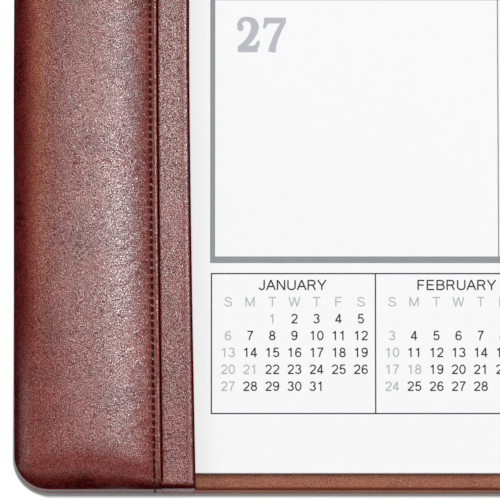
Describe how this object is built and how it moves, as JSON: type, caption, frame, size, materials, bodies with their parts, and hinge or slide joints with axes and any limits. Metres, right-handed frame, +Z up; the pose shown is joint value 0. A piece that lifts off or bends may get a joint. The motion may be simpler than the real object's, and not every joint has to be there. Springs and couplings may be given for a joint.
{
  "type": "desk pad calendar",
  "caption": "Flat leather desk pad with padded stitched side rails whose lips hold a set of loose month sheets on a card backer.",
  "frame": {"origin": "on the desk, under the middle of the pad", "axes": "+X to the right along the pad's width, +Y to the back edge, +Z up from the desk"},
  "size_m": [0.6478, 0.4382, 0.0172],
  "materials": {
    "felt": "matte",
    "board": "matte",
    "base_leather": "satin",
    "rail_leather": "satin",
    "foam": "matte",
    "thread": "satin",
    "card": "matte",
    "paper": "matte"
  },
  "bodies": {
    "desk_pad": {"felt_backing": "felt", "base_board": "board", "base_leather": "base_leather", "left_rail_spacer": "board", "left_rail_board": "board", "left_rail_foam": "foam", "left_bolster_leather": "rail_leather", "left_lip_leather": "rail_leather", "left_seam_stitches": "thread", "right_rail_spacer": "board", "right_rail_board": "board", "right_rail_foam": "foam", "right_bolster_leather": "rail_leather", "right_lip_leather": "rail_leather", "right_seam_stitches": "thread"},
    "backer": {"calendar_backer": "card"},
    "january": {"january_sheet": "paper"},
    "february": {"february_sheet": "paper"},
    "march": {"march_sheet": "paper"},
    "april": {"april_sheet": "paper"},
    "may": {"may_sheet": "paper"},
    "june": {"june_sheet": "paper"},
    "july": {"july_sheet": "paper"},
    "august": {"august_sheet": "paper"},
    "september": {"september_sheet": "paper"},
    "october": {"october_sheet": "paper"},
    "november": {"november_sheet": "paper"},
    "december": {"december_sheet": "paper"}
  },
  "joints": [
    {"name": "backer_slide", "type": "slide", "parent": "desk_pad", "child": "backer", "axis": [1, 0, 0], "range_m": [-0.015, 0.015]},
    {"name": "january_slide", "type": "slide", "parent": "desk_pad", "child": "january", "axis": [1, 0, 0], "range_m": [-0.015, 0.015]},
    {"name": "february_slide", "type": "slide", "parent": "desk_pad", "child": "february", "axis": [1, 0, 0], "range_m": [-0.015, 0.015]},
    {"name": "march_slide", "type": "slide", "parent": "desk_pad", "child": "march", "axis": [1, 0, 0], "range_m": [-0.015, 0.015]},
    {"name": "april_slide", "type": "slide", "parent": "desk_pad", "child": "april", "axis": [1, 0, 0], "range_m": [-0.015, 0.015]},
    {"name": "may_slide", "type": "slide", "parent": "desk_pad", "child": "may", "axis": [1, 0, 0], "range_m": [-0.015, 0.015]},
    {"name": "june_slide", "type": "slide", "parent": "desk_pad", "child": "june", "axis": [1, 0, 0], "range_m": [-0.015, 0.015]},
    {"name": "july_slide", "type": "slide", "parent": "desk_pad", "child": "july", "axis": [1, 0, 0], "range_m": [-0.015, 0.015]},
    {"name": "august_slide", "type": "slide", "parent": "desk_pad", "child": "august", "axis": [1, 0, 0], "range_m": [-0.015, 0.015]},
    {"name": "september_slide", "type": "slide", "parent": "desk_pad", "child": "september", "axis": [1, 0, 0], "range_m": [-0.015, 0.015]},
    {"name": "october_slide", "type": "slide", "parent": "desk_pad", "child": "october", "axis": [1, 0, 0], "range_m": [-0.015, 0.015]},
    {"name": "november_slide", "type": "slide", "parent": "desk_pad", "child": "november", "axis": [1, 0, 0], "range_m": [-0.015, 0.015]},
    {"name": "december_slide", "type": "slide", "parent": "desk_pad", "child": "december", "axis": [1, 0, 0], "range_m": [-0.015, 0.015]}
  ]
}
